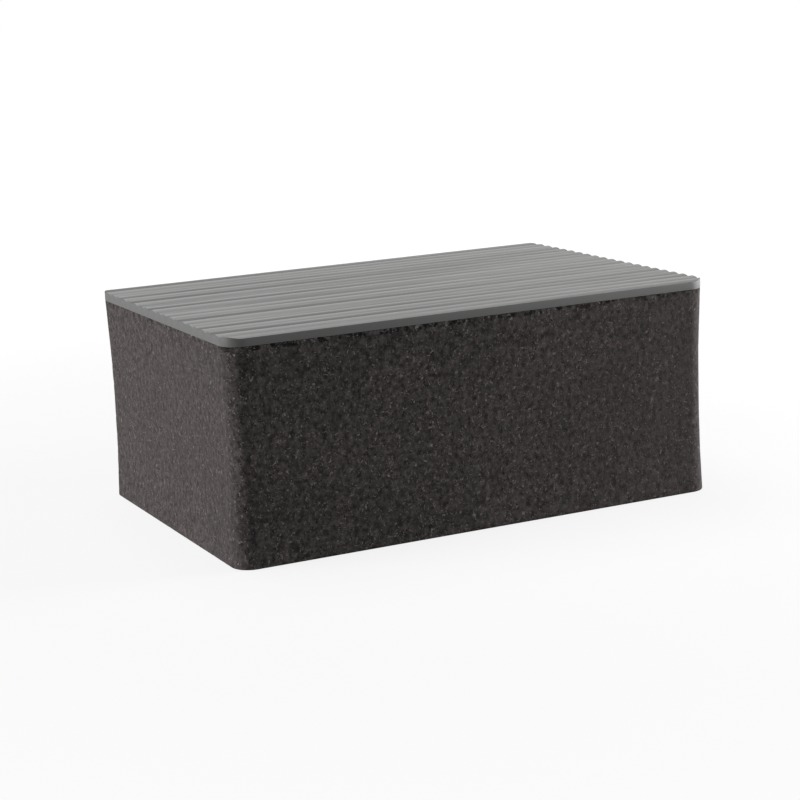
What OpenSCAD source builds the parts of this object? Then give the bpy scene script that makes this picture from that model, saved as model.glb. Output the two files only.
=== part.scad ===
// Clay sponge for cleaning car paint: a block of fine-celled foam with a thin
// layer of ribbed clay rubber bonded over one face. The clay face is on top.
// The origin is in the middle of the underside. +X runs along the length and
// along the ribs, +Y across the ribs, and +Z up to the clay. All sizes in mm.

/* [Block] */
// Length of the block, along the ribs
block_l = 95; // [70:1:130]
// Width of the block, across the ribs
block_w = 65; // [45:1:90]
// Height of foam and clay together, to the crests of the ribs
block_h = 40; // [25:1:60]
// Radius of the four upright corners
corner_r = 3.5; // [1.5:0.25:10]

/* [Foam] */
// How far each side is drawn in at half height, as a knife leaves soft foam
waist_in = 0.5; // [0.1:0.05:1.2]

/* [Clay layer] */
// Thickness of the clay layer, from the foam to the crests of the ribs
clay_t = 1.7; // [1.2:0.1:4]
// Spacing of the ribs; the width takes the nearest whole number of them
rib_pitch = 3.1; // [2:0.1:8]
// Height of a rib above the floor of the groove beside it
rib_h = 0.3; // [0.1:0.05:0.6]
// Width of the flat floor of each groove
groove_w = 0.4; // [0.2:0.1:0.8]

/* [Hidden] */

foam_colour = "#3a3634";
clay_colour = "#8b8b8a";

// Facets of a full circle for each kind of curve
waist_fn = 720;
corner_fn = 48;
rib_fn = 48;

// The foam ends where the clay begins
foam_h = block_h - clay_t;

// The core is the straight-sided middle, inside the rounded rim
core_l = block_l - 2 * corner_r;
core_w = block_w - 2 * corner_r;

// The ribs share the whole width, so the outer two end at its edges
rib_count = max(1, round(block_w / rib_pitch));
rib_step = block_w / rib_count;
rib_w = rib_step - groove_w;
web_t = clay_t - rib_h;

// Radius of the circle that cuts an arc of this width and height
function arc_radius(width, height) =
    (pow(width / 2, 2) + pow(height, 2)) / (2 * height);

waist_r = arc_radius(foam_h, waist_in);
rib_r = arc_radius(rib_w, rib_h);

// Section of the foam's rim, from the core outwards. Its outer edge is one
// shallow arc: full size at top and bottom, and drawn in at half height.
module rim_section() {
    difference() {
        square([corner_r + waist_in, foam_h]);
        translate([corner_r - waist_in + waist_r, foam_h / 2])
            circle(r = waist_r, $fn = waist_fn);
    }
}

// The core, and the rim swept round it: along each side, then round the
// corner that follows it.
module foam_block() {
    color(foam_colour) {
        translate([-core_l / 2, -core_w / 2, 0])
            cube([core_l, core_w, foam_h]);
        for (side = [0:3]) {
            along_width = side % 2 == 0;
            reach = (along_width ? core_l : core_w) / 2;
            run = along_width ? core_w : core_l;
            rotate([0, 0, 90 * side])
                translate([reach, run / 2, 0]) {
                    rotate([90, 0, 0])
                        linear_extrude(run)
                            rim_section();
                    rotate_extrude(angle = 90, $fn = corner_fn)
                        rim_section();
                }
        }
    }
}

// Section across the clay layer: a plain web with a round-topped rib on each
// step. The circles cross the web's top at the edges of the groove floors.
module clay_section() {
    intersection() {
        translate([-block_w / 2, 0])
            square([block_w, clay_t]);
        union() {
            translate([-block_w / 2, 0])
                square([block_w, web_t]);
            for (i = [0:rib_count - 1])
                translate([(i + 0.5) * rib_step - block_w / 2, clay_t - rib_r])
                    circle(r = rib_r, $fn = rib_fn);
        }
    }
}

// Outline of the block seen from above, with its rounded corners
module plan_outline() {
    square([core_l, block_w], center = true);
    square([block_l, core_w], center = true);
    for (x = [-1, 1], y = [-1, 1])
        translate([x * core_l / 2, y * core_w / 2])
            circle(r = corner_r, $fn = corner_fn);
}

// The ribbed section drawn along the length, cut to the block's outline and
// laid flat on the foam.
module clay_layer() {
    color(clay_colour)
        translate([0, 0, foam_h])
            intersection() {
                translate([-block_l / 2, 0, 0])
                    rotate([90, 0, 90])
                        linear_extrude(block_l)
                            clay_section();
                linear_extrude(clay_t)
                    plan_outline();
            }
}

foam_block();
clay_layer();
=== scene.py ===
# %% [markdown]
# # A clay sponge for car paint, dressed over its measured model
#
# The real thing is a hand block: fine-celled foam with a thin sheet of ribbed clay
# rubber bonded over one face. Wetted and rubbed over paint, the ribs lift the grit
# that washing leaves. How it was made is a fair guess, here and below: cut foam,
# and rubber rolled or pressed into ribs.
#
# The measured model holds the two solids at their real size. Here each one gets
# the surface that the eye knows it by: cut cells in the foam, soft round ribs in
# the rubber. Nothing is moved or resized: both new pieces are worked out from the
# boxes of the solids that they stand for.

# %% Load the measured model
import math

import bmesh
import bpy
from mathutils import Matrix, Vector, noise


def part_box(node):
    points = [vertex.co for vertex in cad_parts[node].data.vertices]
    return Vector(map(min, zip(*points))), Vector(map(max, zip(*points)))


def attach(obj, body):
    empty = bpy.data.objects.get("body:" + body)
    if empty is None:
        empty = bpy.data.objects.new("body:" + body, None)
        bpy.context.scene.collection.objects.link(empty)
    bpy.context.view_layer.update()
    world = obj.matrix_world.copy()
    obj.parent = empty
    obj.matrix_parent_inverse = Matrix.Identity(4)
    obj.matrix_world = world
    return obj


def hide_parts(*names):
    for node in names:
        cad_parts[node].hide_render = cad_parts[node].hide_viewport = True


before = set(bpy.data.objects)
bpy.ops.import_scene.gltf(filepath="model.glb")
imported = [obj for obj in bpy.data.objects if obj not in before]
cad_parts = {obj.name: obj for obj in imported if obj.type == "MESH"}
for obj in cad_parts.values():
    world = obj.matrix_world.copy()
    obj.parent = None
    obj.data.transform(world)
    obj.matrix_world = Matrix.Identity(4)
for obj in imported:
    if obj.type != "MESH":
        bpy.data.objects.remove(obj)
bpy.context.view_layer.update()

MM = 0.001
foam_low, foam_high = (Vector(corner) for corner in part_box("foam_block"))
clay_low, clay_high = (Vector(corner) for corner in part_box("clay_layer"))
print("solids:", sorted(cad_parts))
print("foam reaches (mm):", [round(size / MM, 2) for size in foam_high - foam_low])
print("clay reaches (mm):", [round(size / MM, 2) for size in clay_high - clay_low])

# %% [markdown]
# ## Camera
#
# The block is seen from a little above its near corner, with a long lens, so that
# its upright edges stay almost parallel. The camera is set by its place and by
# three angles, and by how long the lens is on a sensor 36 mm wide.

# %% Place the camera
CAMERA_PLACE = Vector((-168.8, -346.3, 100.6)) * MM
CAMERA_HEADING = math.radians(-25.93)
CAMERA_DIP = math.radians(12.13)
CAMERA_ROLL = math.radians(-2.40)
LENS_MM = 93.5

camera = bpy.data.objects.new("camera", bpy.data.cameras.new("camera"))
camera.data.lens = LENS_MM
camera.data.sensor_width = 36
camera.data.clip_start = 0.01
camera.matrix_world = (
    Matrix.Translation(CAMERA_PLACE)
    @ Matrix.Rotation(CAMERA_HEADING, 4, "Z")
    @ Matrix.Rotation(math.pi / 2 - CAMERA_DIP, 4, "X")
    @ Matrix.Rotation(CAMERA_ROLL, 4, "Z")
)
bpy.context.scene.collection.objects.link(camera)
bpy.context.scene.camera = camera
print("camera stands", round(CAMERA_PLACE.length, 3), "m from the block")

# %% [markdown]
# ## Light
#
# A grey block on a white table is lit by large soft lamps, because small ones
# would leave hard edges on it. One hangs overhead and a little behind, and makes
# the ribbed face the palest. One stands at the left and lights the short side. A
# weaker one at the right grazes the long side, which stays the darkest. Each lamp
# is set by its place, its width and the level that a white card facing it would
# reach, from which its power in watts is worked out.


# %% Hang the lamps
def soft_lamp(name, place, width, level, aim=Vector((0, 0, 0.02))):
    """A square lamp that lights a white card at its aim to the given level."""
    lamp = bpy.data.lights.new(name, "AREA")
    lamp.shape = "SQUARE"
    lamp.size = width
    reach = (aim - place).length
    lamp.energy = level * (math.pi * reach) ** 2
    holder = bpy.data.objects.new(name, lamp)
    holder.location = place
    holder.rotation_euler = (aim - place).to_track_quat("-Z", "Y").to_euler()
    bpy.context.scene.collection.objects.link(holder)
    print(name, "at", round(reach, 2), "m gives", round(lamp.energy, 2), "W")


soft_lamp("overhead_lamp", Vector((-0.05, 0.25, 0.75)), width=0.55, level=0.47)
soft_lamp("left_lamp", Vector((-0.70, 0.12, 0.25)), width=0.45, level=0.68)
soft_lamp("right_lamp", Vector((0.26, -0.075, 0.10)), width=0.14, level=0.94)

# %% [markdown]
# The room beyond is a plain white sweep. Seen by the camera, or in a reflection,
# it has a strength of 1, which is white. As a light on the block it is only a
# faint fill, so that the dark side stays dark.


# %% Colours, and one function that adds a node
def linear(hex_colour):
    """Turn an sRGB hex colour, as a paint chart gives it, into linear light."""
    channels = [int(hex_colour[i:i + 2], 16) / 255 for i in (1, 3, 5)]
    curve = [c / 12.92 if c <= 0.04045 else ((c + 0.055) / 1.055) ** 2.4 for c in channels]
    return (*curve, 1.0)


def add_node(tree, kind, inputs=None, links=None, **settings):
    """Add a node with its settings, its input values and its incoming links."""
    node = tree.nodes.new(kind)
    for name, value in settings.items():
        setattr(node, name, value)
    for socket, value in (inputs or {}).items():
        node.inputs[socket].default_value = value
    for socket, source in (links or {}).items():
        tree.links.new(source, node.inputs[socket])
    return node


def shader_tree(owner):
    """Give a world or material an empty node tree."""
    owner.use_nodes = True
    owner.node_tree.nodes.clear()
    return owner.node_tree


def seen_or_mirrored(tree):
    """1 for rays that the camera sees, straight or in gloss or glass, else 0."""
    path = add_node(tree, "ShaderNodeLightPath")
    gloss = add_node(tree, "ShaderNodeMath", operation="MAXIMUM", links={
        0: path.outputs["Is Glossy Ray"], 1: path.outputs["Is Transmission Ray"]})
    both = add_node(tree, "ShaderNodeMath", operation="MAXIMUM", links={
        0: path.outputs["Is Camera Ray"], 1: gloss.outputs[0]})
    return both.outputs[0]


print("white is", linear("#ffffff")[0], "and mid grey", round(linear("#808080")[0], 3))

# %% Make the white room
ROOM_FILL = 0.06

room = bpy.data.worlds.new("white_room")
bpy.context.scene.world = room
tree = shader_tree(room)
fill = add_node(tree, "ShaderNodeBackground", {"Color": linear("#ffffff"), "Strength": ROOM_FILL})
white = add_node(tree, "ShaderNodeBackground", {"Color": linear("#ffffff"), "Strength": 1.0})
mix = add_node(tree, "ShaderNodeMixShader", links={
    0: seen_or_mirrored(tree), 1: fill.outputs[0], 2: white.outputs[0]})
add_node(tree, "ShaderNodeOutputWorld", links={"Surface": mix.outputs[0]})
print("room fill on the block:", ROOM_FILL)

# %% [markdown]
# The table is a wide flat sheet of ordinary paint, which takes the block's soft
# shadow. To the camera it has some white of its own as well, and more of it
# further off, so that the table runs into the white room without a line.

# %% Lay the table
TABLE_SPAN = 6.0
WHITE_NEAR = 0.83
WHITE_FAR = 1.0
NEAR_REACH = 0.08
FAR_REACH = 0.40

bm = bmesh.new()
bmesh.ops.create_grid(bm, x_segments=1, y_segments=1, size=TABLE_SPAN / 2)
table_mesh = bpy.data.meshes.new("table")
bm.to_mesh(table_mesh)
bm.free()
table = bpy.data.objects.new("table", table_mesh)
bpy.context.scene.collection.objects.link(table)

table_paint = bpy.data.materials.new("white_table_paint")
tree = shader_tree(table_paint)
place = add_node(tree, "ShaderNodeTexCoord")
reach = add_node(tree, "ShaderNodeVectorMath", links={0: place.outputs["Object"]},
                 operation="LENGTH")
own_white = add_node(tree, "ShaderNodeMapRange",
                     {"From Min": NEAR_REACH, "From Max": FAR_REACH,
                      "To Min": WHITE_NEAR, "To Max": WHITE_FAR},
                     {"Value": reach.outputs["Value"]}, interpolation_type="SMOOTHSTEP")
shown = add_node(tree, "ShaderNodeMath", operation="MULTIPLY", links={
    0: own_white.outputs[0], 1: seen_or_mirrored(tree)})
glow = add_node(tree, "ShaderNodeEmission", {"Color": linear("#ffffff")},
                {"Strength": shown.outputs[0]})
paint = add_node(tree, "ShaderNodeBsdfDiffuse", {"Color": linear("#6c6c6c")})
both = add_node(tree, "ShaderNodeAddShader", links={0: glow.outputs[0], 1: paint.outputs[0]})
add_node(tree, "ShaderNodeOutputMaterial", links={"Surface": both.outputs[0]})
table.data.materials.append(table_paint)
print("table spans", TABLE_SPAN, "m")

# %% [markdown]
# ## The foam block
#
# The sides are slightly hollow: full size at the top and bottom, and drawn in by
# about half a millimetre between. Soft foam that is squeezed as a long knife cuts
# it, and springs back after, would end up like that.
#
# The block is one face with bevelled corners, drawn upwards. Its walls are then
# cut into a fine grid, so that the hollow sides and the cut cells can be pressed
# into real geometry. A remesh would do this too, but would blur the crisp rims.

# %% Sizes shared by both pieces
CORNER_R = 3.5 * MM
CORNER_STEPS = 15

half_l = foam_high.x
half_w = foam_high.y
core_half_l = half_l - CORNER_R
core_half_w = half_w - CORNER_R
foam_top = foam_high.z


def from_core(point):
    """The level vector from the block's straight-sided core out to a point."""
    nearest_x = max(-core_half_l, min(core_half_l, point.x))
    nearest_y = max(-core_half_w, min(core_half_w, point.y))
    return Vector((point.x - nearest_x, point.y - nearest_y, 0))


print("core (mm):", round(2 * core_half_l / MM, 1), "x", round(2 * core_half_w / MM, 1))

# %% Draw the foam up from its underside
FOAM_GRID = 0.37 * MM
RIM_SOFT = 0.2 * MM

bm = bmesh.new()
bmesh.ops.create_grid(bm, x_segments=1, y_segments=1, size=1.0)
bmesh.ops.scale(bm, verts=bm.verts, vec=(half_l, half_w, 1))
bmesh.ops.bevel(bm, geom=bm.verts[:], affect="VERTICES", offset=CORNER_R,
                offset_type="OFFSET", segments=CORNER_STEPS, profile=0.5, material=-1)
for edge in bm.edges[:]:
    pieces = round(edge.calc_length() / FOAM_GRID)
    if pieces > 2:
        bmesh.ops.bisect_edges(bm, edges=[edge], cuts=pieces - 1)
raised = bmesh.ops.extrude_face_region(bm, geom=bm.faces[:])
raised_verts = [item for item in raised["geom"] if isinstance(item, bmesh.types.BMVert)]
bmesh.ops.translate(bm, verts=raised_verts, vec=(0, 0, foam_top))
rims = [edge for edge in bm.edges if abs(edge.verts[0].co.z - edge.verts[1].co.z) < MM]
bmesh.ops.bevel(bm, geom=rims, affect="EDGES", offset=RIM_SOFT,
                offset_type="OFFSET", segments=2, profile=0.5, material=-1)
uprights = [edge for edge in bm.edges
            if abs(edge.verts[0].co.z - edge.verts[1].co.z) > foam_top / 2]
bmesh.ops.subdivide_edges(bm, edges=uprights, cuts=round(foam_top / FOAM_GRID),
                          use_grid_fill=True)
bmesh.ops.recalc_face_normals(bm, faces=bm.faces[:])
print("foam columns:", len(uprights), "faces:", len(bm.faces))

# %% [markdown]
# Cut foam shows its cells as small pits. A Voronoi pattern scatters points as
# bubbles scatter in the foam, so the distance to the nearest point gives each
# pit's wall. Only some bubbles are cut through their middle, so each pit's width
# is drawn by lot. Just under the clay there is a ragged row of bigger cells, such
# as a strong bond tears out.

# %% Press the hollow sides and the cut cells into the walls
WAIST_IN = 0.5 * MM
CELL_SPACING = 1.1 * MM
CELL_DEPTH = 0.11 * MM
TORN_BAND = 1.1 * MM
TORN_DEPTH = 0.38 * MM
SWELL_LENGTH = 6 * MM
SWELL = 0.05 * MM
WIDEST_PIT = 0.5
WIDEST_TORN_PIT = 0.7
NARROWEST = 0.35
LOT_SPREAD = 7.31
TORN_SHIFT = Vector((9, 9, 9))


def pit(point, spacing, widest):
    """From 0 on the skin to 1 at the middle of a cut cell, whose width is drawn by lot."""
    distances, centres = noise.voronoi(point / spacing)
    lot = abs(noise.noise(centres[0] * LOT_SPREAD)) * 2
    width = widest * (NARROWEST + (1 - NARROWEST) * lot)
    return max(0.0, 1 - (distances[0] / width) ** 2)


def wall_inset(point):
    """How far a point of the foam's wall lies inside the plain upright wall."""
    height = point.z / foam_top
    hollow = WAIST_IN * 4 * height * (1 - height)
    cells = CELL_DEPTH * pit(point, CELL_SPACING, WIDEST_PIT)
    under_clay = max(0.0, 1 - (foam_top - point.z) / TORN_BAND)
    torn = TORN_DEPTH * under_clay * pit(point + TORN_SHIFT, CELL_SPACING, WIDEST_TORN_PIT)
    swell = SWELL * noise.noise(point / SWELL_LENGTH)
    ease = min(1.0, min(point.z, foam_top - point.z) / RIM_SOFT)
    return hollow + ease * (cells + torn + swell)


for vert in bm.verts:
    outward = from_core(vert.co)
    if outward.length > CORNER_R / 2:
        vert.co -= outward.normalized() * wall_inset(vert.co)
for face in bm.faces:
    face.smooth = len(face.verts) == 4

foam_mesh = bpy.data.meshes.new("foam_block_cut")
bm.to_mesh(foam_mesh)
bm.free()
foam = bpy.data.objects.new("foam_block_cut", foam_mesh)
bpy.context.scene.collection.objects.link(foam)
foam_mesh.calc_loop_triangles()
print("foam triangles:", len(foam_mesh.loop_triangles))

# %% [markdown]
# ## The clay layer
#
# The rubber has rounded ribs with narrow flat grooves between them, as a grooved
# roller or mould leaves, and its edge is flush with the foam.
#
# The rib spacing is the measured model's, a little over three millimetres. It is
# the least certain size on the block, and five millimetres is as likely or more.
#
# One flat grid makes the ribbed face. Its rows are set closer where a rib curves,
# its columns closer where the corners curve, and each point is then lifted to the
# height of the rib section. Points that would fall outside the rounded corners
# are drawn in to the outline and merged, so the ribs run straight into the cut.

# %% Work out the rows and columns of the ribbed face
RIB_PITCH = 3.1 * MM
RIB_H = 0.3 * MM
GROOVE_W = 0.4 * MM
RIB_STEPS = 9
COLUMN_STEP = 0.5 * MM

rib_count = round(2 * half_w / RIB_PITCH)
rib_step = 2 * half_w / rib_count
rib_half = (rib_step - GROOVE_W) / 2
rib_r = (rib_half ** 2 + RIB_H ** 2) / (2 * RIB_H)
rib_turn = math.asin(rib_half / rib_r)
groove_floor = clay_high.z - RIB_H


def rib_height(y):
    """Height of the plain rib section at a place across the block."""
    off_crest = (y + half_w) % rib_step - rib_step / 2
    if abs(off_crest) >= rib_half:
        return groove_floor
    return clay_high.z - rib_r + math.sqrt(rib_r ** 2 - off_crest ** 2)


rows = [-half_w]
for rib in range(rib_count):
    crest_y = (rib + 0.5) * rib_step - half_w
    turns = [rib_turn * (2 * i / RIB_STEPS - 1) for i in range(RIB_STEPS + 1)]
    rows += [crest_y + rib_r * math.sin(turn) for turn in turns]
    rows.append((rib + 1) * rib_step - half_w)

arc = [CORNER_R * math.sin(math.pi / 2 * i / CORNER_STEPS) for i in range(1, CORNER_STEPS + 1)]
core_cuts = round(2 * core_half_l / COLUMN_STEP)
columns = [-core_half_l - reach for reach in reversed(arc)]
columns += [core_half_l * (2 * i / core_cuts - 1) for i in range(core_cuts + 1)]
columns += [core_half_l + reach for reach in arc]
print(rib_count, "ribs,", round(rib_step / MM, 3), "mm apart;", len(rows), "rows,",
      len(columns), "columns")

# %% Lift the grid into ribs and draw its rim down to the foam
RIB_WANDER = 0.03 * MM
WANDER_LENGTH = 22 * MM
WANDER_SPREAD = 3.7
CLAY_RIM_SOFT = 0.1 * MM
MERGE_REACH = 0.001 * MM
SHARP_TURN = math.radians(50)


def half_width_at(x):
    """Half the width of the rounded outline at a place along the block."""
    past_core = max(0.0, abs(x) - core_half_l)
    return core_half_w + math.sqrt(max(0.0, CORNER_R ** 2 - past_core ** 2))


def wander(x, y):
    """How far each crest drops here, because ribs are never quite even."""
    rib = math.floor((y + half_w) / rib_step)
    return RIB_WANDER * (0.5 + 0.5 * noise.noise(Vector((x / WANDER_LENGTH, rib * WANDER_SPREAD, 0))))


bm = bmesh.new()
bmesh.ops.create_grid(bm, x_segments=len(columns) - 1, y_segments=len(rows) - 1, size=1.0)
for vert in bm.verts:
    x = columns[round((vert.co.x + 1) / 2 * (len(columns) - 1))]
    y = rows[round((vert.co.y + 1) / 2 * (len(rows) - 1))]
    half_width = half_width_at(x)
    y = max(-half_width, min(half_width, y))
    height = rib_height(y)
    lift = (height - groove_floor) / RIB_H
    vert.co = (x, y, height - lift * wander(x, y))
bmesh.ops.remove_doubles(bm, verts=bm.verts, dist=MERGE_REACH)
rim = [edge for edge in bm.edges if edge.is_boundary]
drawn = bmesh.ops.extrude_edge_only(bm, edges=rim)
for item in drawn["geom"]:
    if isinstance(item, bmesh.types.BMVert):
        item.co.z = clay_low.z
foot = [edge for edge in bm.edges if edge.is_boundary]
bmesh.ops.contextual_create(bm, geom=foot)
bmesh.ops.recalc_face_normals(bm, faces=bm.faces[:])
bmesh.ops.bevel(bm, geom=rim, affect="EDGES", offset=CLAY_RIM_SOFT,
                offset_type="OFFSET", segments=2, profile=0.5, clamp_overlap=True, material=-1)
for face in bm.faces:
    face.smooth = len(face.verts) <= 4
for edge in bm.edges:
    edge.smooth = edge.calc_face_angle(0.0) < SHARP_TURN

clay_mesh = bpy.data.meshes.new("clay_layer_ribbed")
bm.to_mesh(clay_mesh)
bm.free()
clay = bpy.data.objects.new("clay_layer_ribbed", clay_mesh)
bpy.context.scene.collection.objects.link(clay)
clay_mesh.calc_loop_triangles()
print("clay triangles:", len(clay_mesh.loop_triangles))

# %% [markdown]
# ## Foam: charcoal foam, taken as cross-linked polyethylene, knife-cut
#
# Fine closed-cell foam has no shine of its own. The eye reads it by its grain: an
# uneven crumb from light to dark, dark holes where a cell was cut open, which are
# painted shade, and a few pale flecks, painted highlights where a thin cell wall
# stands up and would catch light. The knife drags them all a little longer up and
# down than they are wide. It also smears some of the grain shut, most of all on the
# short sides, and more as the cut goes on.

# %% Start the foam with its crumb
CRUMB_MM = 1.0
PATCH_MM = 14.0
KNIFE_DRAG = 0.92


def per_metre(size_mm):
    """Pattern scale that gives features of a real size in millimetres."""
    return 1000 / size_mm


foam_paint = bpy.data.materials.new("charcoal_pe_foam_knife_cut")
tree = shader_tree(foam_paint)
place = add_node(tree, "ShaderNodeTexCoord")
axes = add_node(tree, "ShaderNodeSeparateXYZ", links={0: place.outputs["Object"]})
drag = add_node(tree, "ShaderNodeMapping", {"Scale": (1, 1, KNIFE_DRAG)},
                {"Vector": place.outputs["Object"]})
crumb = add_node(tree, "ShaderNodeTexNoise",
                 {"Scale": per_metre(CRUMB_MM), "Detail": 4.0, "Roughness": 0.7},
                 {"Vector": drag.outputs[0]})
tone = add_node(tree, "ShaderNodeValToRGB", links={0: crumb.outputs["Fac"]})
tone.color_ramp.elements[0].position = 0.36
tone.color_ramp.elements[0].color = linear("#2e2a2a")
tone.color_ramp.elements[1].position = 0.70
tone.color_ramp.elements[1].color = linear("#7b7473")
patches = add_node(tree, "ShaderNodeTexNoise", {"Scale": per_metre(PATCH_MM), "Detail": 3.0},
                   {"Vector": place.outputs["Object"]})
patch_shade = add_node(tree, "ShaderNodeMapRange",
                       {"From Min": 0.35, "From Max": 0.65, "To Min": 0.90, "To Max": 1.10},
                       {"Value": patches.outputs["Fac"]})
toned = add_node(tree, "ShaderNodeMix", {"Factor": 1.0},
                 {"A": tone.outputs["Color"], "B": patch_shade.outputs[0]},
                 data_type="RGBA", blend_type="MULTIPLY")
print("crumb", CRUMB_MM, "mm, in patches of", PATCH_MM, "mm")

# %% [markdown]
# Each hole's width is drawn by lot, and the hole is coloured dark as painted
# shade. The ragged row of bigger cells just under the clay is painted nearly black
# inside, as deeper painted shade.

# %% Cut the cells open and paint shade into them
CELL_MM = 0.55
WIDEST_HOLE = 0.38
TORN_CELL_MM = 0.95
TORN_HOLE = 0.85
TORN_FULL = 0.7
HOLE_EDGE = 0.15


def by_lot(pattern):
    """A number from 0 to 1 that is the same all over one cell of a pattern."""
    return add_node(tree, "ShaderNodeSeparateColor", links={"Color": pattern.outputs["Color"]})


def holes_of(pattern, lot, widest):
    """1 inside each cell's hole, whose width is drawn by lot, and 0 outside it."""
    width = add_node(tree, "ShaderNodeMath", {1: widest}, {0: lot.outputs[0]},
                     operation="MULTIPLY")
    inside = add_node(tree, "ShaderNodeMath", operation="SUBTRACT", links={
        0: width.outputs[0], 1: pattern.outputs["Distance"]})
    return add_node(tree, "ShaderNodeMapRange", {"From Min": 0.0, "From Max": HOLE_EDGE},
                    {"Value": inside.outputs[0]}, interpolation_type="SMOOTHSTEP")


cells = add_node(tree, "ShaderNodeTexVoronoi", {"Scale": per_metre(CELL_MM), "Randomness": 1.0},
                 {"Vector": drag.outputs[0]}, feature="F1")
hole = holes_of(cells, by_lot(cells), WIDEST_HOLE)
# Painted shade: each cut hole is coloured dark where shade would fall inside it.
cell_hole_painted_shade = add_node(tree, "ShaderNodeMix", {"B": linear("#242121")},
                      {"Factor": hole.outputs[0], "A": toned.outputs["Result"]},
                      data_type="RGBA")
big_cells = add_node(tree, "ShaderNodeTexVoronoi",
                     {"Scale": per_metre(TORN_CELL_MM), "Randomness": 1.0},
                     {"Vector": place.outputs["Object"]}, feature="F1")
big_hole = holes_of(big_cells, by_lot(big_cells), TORN_HOLE)
torn = add_node(tree, "ShaderNodeMapRange",
                {"From Min": foam_top - TORN_BAND, "From Max": foam_top - TORN_FULL * TORN_BAND},
                {"Value": axes.outputs["Z"]})
torn_hole = add_node(tree, "ShaderNodeMath", operation="MULTIPLY", links={
    0: torn.outputs[0], 1: big_hole.outputs[0]})
# Painted shade: the torn cells under the clay are coloured nearly black where shade would fall inside
# them.
torn_pit_painted_shade = add_node(tree, "ShaderNodeMix", {"B": linear("#090808")},
                     {"Factor": torn_hole.outputs[0], "A": cell_hole_painted_shade.outputs["Result"]},
                     data_type="RGBA")
print("cells", CELL_MM, "mm, torn over", round(TORN_BAND / MM, 2), "mm under the clay")

# %% Add the painted highlight flecks and the relief, and close the foam's skin
GLINT_MM = 0.46
CRUMB_RELIEF = 0.20 * MM
END_SMEAR = 0.45
SMEAR_ALONG = 0.48
smear_start = -0.2 * half_l

flecks = add_node(tree, "ShaderNodeTexNoise",
                  {"Scale": per_metre(GLINT_MM), "Detail": 2.0, "Distortion": 1.2},
                  {"Vector": drag.outputs[0]})
glint_mask = add_node(tree, "ShaderNodeMapRange", {"From Min": 0.60, "From Max": 0.70},
                 {"Value": flecks.outputs["Fac"]}, interpolation_type="SMOOTHSTEP")
# Painted highlights: pale flecks coloured in where thin cell walls would catch light.
painted_glints = add_node(tree, "ShaderNodeMix", {"B": linear("#aea6a3")},
                       {"Factor": glint_mask.outputs[0], "A": torn_pit_painted_shade.outputs["Result"]},
                       data_type="RGBA")
facing = add_node(tree, "ShaderNodeSeparateXYZ", links={0: place.outputs["Normal"]})
endways = add_node(tree, "ShaderNodeMath", links={0: facing.outputs["X"]}, operation="ABSOLUTE")
smeared = add_node(tree, "ShaderNodeMapRange",
                   {"From Min": 0.5, "From Max": 1.0, "To Min": 0.0, "To Max": END_SMEAR},
                   {"Value": endways.outputs[0]})
blunter = add_node(tree, "ShaderNodeMapRange",
                   {"From Min": smear_start, "From Max": half_l,
                    "To Min": 0.0, "To Max": SMEAR_ALONG},
                   {"Value": axes.outputs["X"]})
smear = add_node(tree, "ShaderNodeMath", operation="MAXIMUM", links={
    0: smeared.outputs[0], 1: blunter.outputs[0]})
ends_soft = add_node(tree, "ShaderNodeMix", {"B": linear("#544e4d")},
                     {"Factor": smear.outputs[0], "A": painted_glints.outputs["Result"]},
                     data_type="RGBA")
height = add_node(tree, "ShaderNodeMath", operation="SUBTRACT", links={
    0: crumb.outputs["Fac"], 1: hole.outputs[0]})
bump = add_node(tree, "ShaderNodeBump", {"Strength": 0.2, "Distance": CRUMB_RELIEF},
                {"Height": height.outputs[0]})
skin = add_node(tree, "ShaderNodeBsdfPrincipled",
                {"Roughness": 0.95, "IOR": 1.5, "Specular IOR Level": 0.25},
                {"Base Color": ends_soft.outputs["Result"], "Normal": bump.outputs[0]})
add_node(tree, "ShaderNodeOutputMaterial", links={"Surface": skin.outputs[0]})
foam.data.materials.append(foam_paint)
print(foam_paint.name, "has", len(tree.nodes), "nodes")

# %% [markdown]
# ## Clay: grey polymer clay rubber, rolled
#
# The rubber is an even mid grey with a satin skin. Long pale and dark streaks run
# along it, about five millimetres apart, boldest at one end and almost gone at the
# other. They are painted light and shade, standing in for lit crests and shaded
# grooves: colour alone, with no shape. Here they are laid over finer ribs, but they
# may be wider ribs on the real one.

# %% Paint light and shade streaks on the clay rubber
STREAK_APART = 5.0 * MM
WAVE_LENGTH = 2 * math.pi / 20
STREAK_WANDER = 0.12
FAINT_MM = (50.0, 2.6, 2.6)

clay_paint = bpy.data.materials.new("grey_clay_rubber_rolled")
tree = shader_tree(clay_paint)
place = add_node(tree, "ShaderNodeTexCoord")
axes = add_node(tree, "ShaderNodeSeparateXYZ", links={0: place.outputs["Object"]})
long_way = add_node(tree, "ShaderNodeMapping", {"Scale": (STREAK_WANDER, 1, 1)},
                    {"Vector": place.outputs["Object"]})
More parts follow.
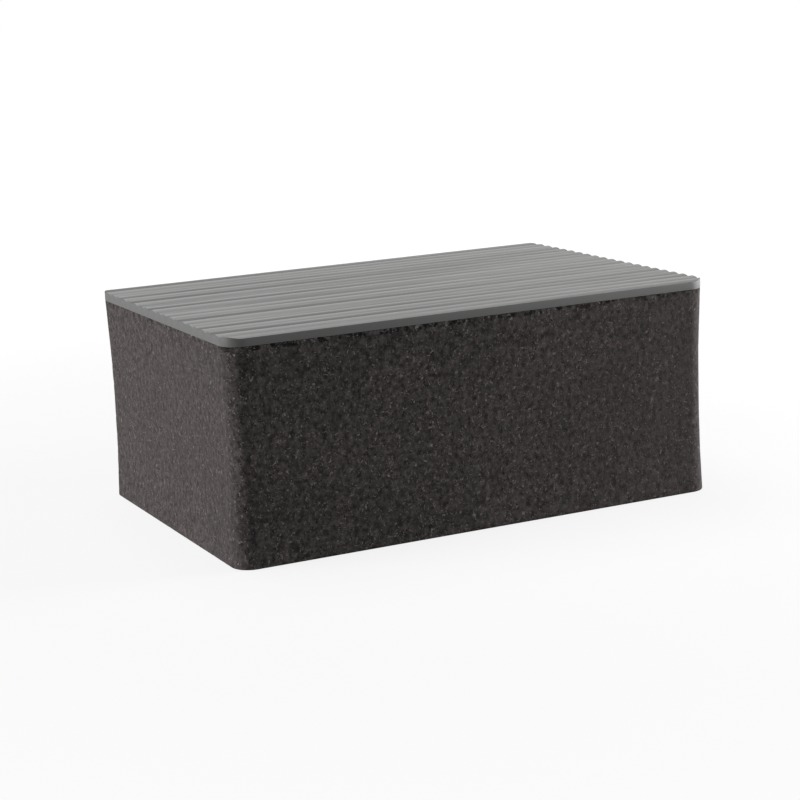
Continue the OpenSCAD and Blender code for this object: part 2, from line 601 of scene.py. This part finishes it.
# Painted light and shade: pale and dark streaks stand in for lit crests and shaded grooves, boldest
# at the -X end.
stripe_wave = add_node(tree, "ShaderNodeTexWave",
                 {"Scale": WAVE_LENGTH / STREAK_APART, "Distortion": 2.2, "Detail": 2.0,
                  "Detail Scale": 1.6}, {"Vector": long_way.outputs[0]},
                 bands_direction="Y", wave_profile="SIN")
streaked = add_node(tree, "ShaderNodeValToRGB", links={0: stripe_wave.outputs["Fac"]})
streaked.color_ramp.elements[0].position = 0.0
streaked.color_ramp.elements[0].color = linear("#5b5b5a")
streaked.color_ramp.elements[1].position = 0.48
streaked.color_ramp.elements[1].color = linear("#929291")
stretch = add_node(tree, "ShaderNodeMapping", {"Scale": [per_metre(size) for size in FAINT_MM]},
                   {"Vector": place.outputs["Object"]})
faint = add_node(tree, "ShaderNodeTexNoise", {"Scale": 1.0, "Detail": 2.0},
                 {"Vector": stretch.outputs[0]})
plain = add_node(tree, "ShaderNodeValToRGB", links={0: faint.outputs["Fac"]})
plain.color_ramp.elements[0].position = 0.3
plain.color_ramp.elements[0].color = linear("#7a7a79")
plain.color_ramp.elements[1].position = 0.7
plain.color_ramp.elements[1].color = linear("#929291")
bold_end = add_node(tree, "ShaderNodeMapRange",
                    {"From Min": -half_l, "From Max": half_l, "To Min": 0.95, "To Max": 0.0},
                    {"Value": axes.outputs["X"]}, interpolation_type="SMOOTHSTEP")
painted_stripe_face = add_node(tree, "ShaderNodeMix", links={
    "Factor": bold_end.outputs[0], "A": plain.outputs["Color"], "B": streaked.outputs["Color"]},
    data_type="RGBA")
print("streaks", round(STREAK_APART / MM, 1), "mm apart")

# %% [markdown]
# The grooves are painted darker than the crests, as painted shade, more in some
# stretches than in others. The sides are painted a darker grey, as painted shade
# that is lighter towards one end, and have no streaks.

# %% Paint shade into the grooves and onto the cut sides
GROOVE_SHADE_PATCH_MM = (16.0, 9.0, 9.0)
GROOVE_PAINTED_SHADE = 0.36
UNSHADED_CREST = 0.2 * RIB_H

sunk = add_node(tree, "ShaderNodeMapRange",
                {"From Min": groove_floor, "From Max": clay_high.z - UNSHADED_CREST,
                 "To Min": GROOVE_PAINTED_SHADE, "To Max": 0.0},
                {"Value": axes.outputs["Z"]}, interpolation_type="SMOOTHSTEP")
spread = add_node(tree, "ShaderNodeMapping", {"Scale": [per_metre(size) for size in GROOVE_SHADE_PATCH_MM]},
                  {"Vector": place.outputs["Object"]})
groove_shade_patches = add_node(tree, "ShaderNodeTexNoise", {"Scale": 1.0, "Detail": 2.0},
                 {"Vector": spread.outputs[0]})
uneven = add_node(tree, "ShaderNodeMapRange",
                  {"From Min": 0.35, "From Max": 0.65, "To Min": 0.3, "To Max": 1.0},
                  {"Value": groove_shade_patches.outputs["Fac"]})
painted_groove_shade = add_node(tree, "ShaderNodeMath", operation="MULTIPLY", links={
    0: sunk.outputs[0], 1: uneven.outputs[0]})
# Painted shade: the grooves are coloured darker, in uneven patches, where shade would fall between
# the ribs.
groove_shaded = add_node(tree, "ShaderNodeMix", {"B": linear("#3e3e3d")},
                   {"Factor": painted_groove_shade.outputs[0], "A": painted_stripe_face.outputs["Result"]},
                   data_type="RGBA")
facing = add_node(tree, "ShaderNodeSeparateXYZ", links={0: place.outputs["Normal"]})
upward = add_node(tree, "ShaderNodeMapRange", {"From Min": 0.3, "From Max": 0.7},
                  {"Value": facing.outputs["Z"]})
# Painted shade and light: the cut sides are coloured darker than the ribbed face, and lighter towards
# +X, as the light along the long side falls.
side_light_gradient = add_node(tree, "ShaderNodeMapRange", {"From Min": -half_l, "From Max": half_l},
                     {"Value": axes.outputs["X"]})
painted_side_shade = add_node(tree, "ShaderNodeMix", {"A": linear("#6e6e6d"), "B": linear("#858584")},
                    {"Factor": side_light_gradient.outputs[0]}, data_type="RGBA")
rubber = add_node(tree, "ShaderNodeMix", links={
    "Factor": upward.outputs[0], "A": painted_side_shade.outputs["Result"], "B": groove_shaded.outputs["Result"]},
    data_type="RGBA")
print("grooves take", GROOVE_PAINTED_SHADE, "of the dirt's colour at most")

# %% Close the clay's skin
GRAIN_MM = 0.25
GRAIN_RELIEF = 0.05 * MM

grain = add_node(tree, "ShaderNodeTexNoise", {"Scale": per_metre(GRAIN_MM), "Detail": 2.0},
                 {"Vector": place.outputs["Object"]})
bump = add_node(tree, "ShaderNodeBump", {"Strength": 0.25, "Distance": GRAIN_RELIEF},
                {"Height": grain.outputs["Fac"]})
skin = add_node(tree, "ShaderNodeBsdfPrincipled",
                {"Roughness": 0.52, "IOR": 1.5, "Specular IOR Level": 0.4},
                {"Base Color": rubber.outputs["Result"], "Normal": bump.outputs[0]})
add_node(tree, "ShaderNodeOutputMaterial", links={"Surface": skin.outputs[0]})
clay.data.materials.append(clay_paint)
print(clay_paint.name, "has", len(tree.nodes), "nodes")

# %% [markdown]
# ## Fit the pieces to the model
#
# Each piece rides on the body of the solid that it stands for and hides that
# solid.

for piece, node, slot in ((foam, "foam_block", "foam"), (clay, "clay_layer", "clay_rubber")):
    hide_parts(node)
    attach(piece, "root")

bpy.context.scene.view_settings.view_transform = "Standard"
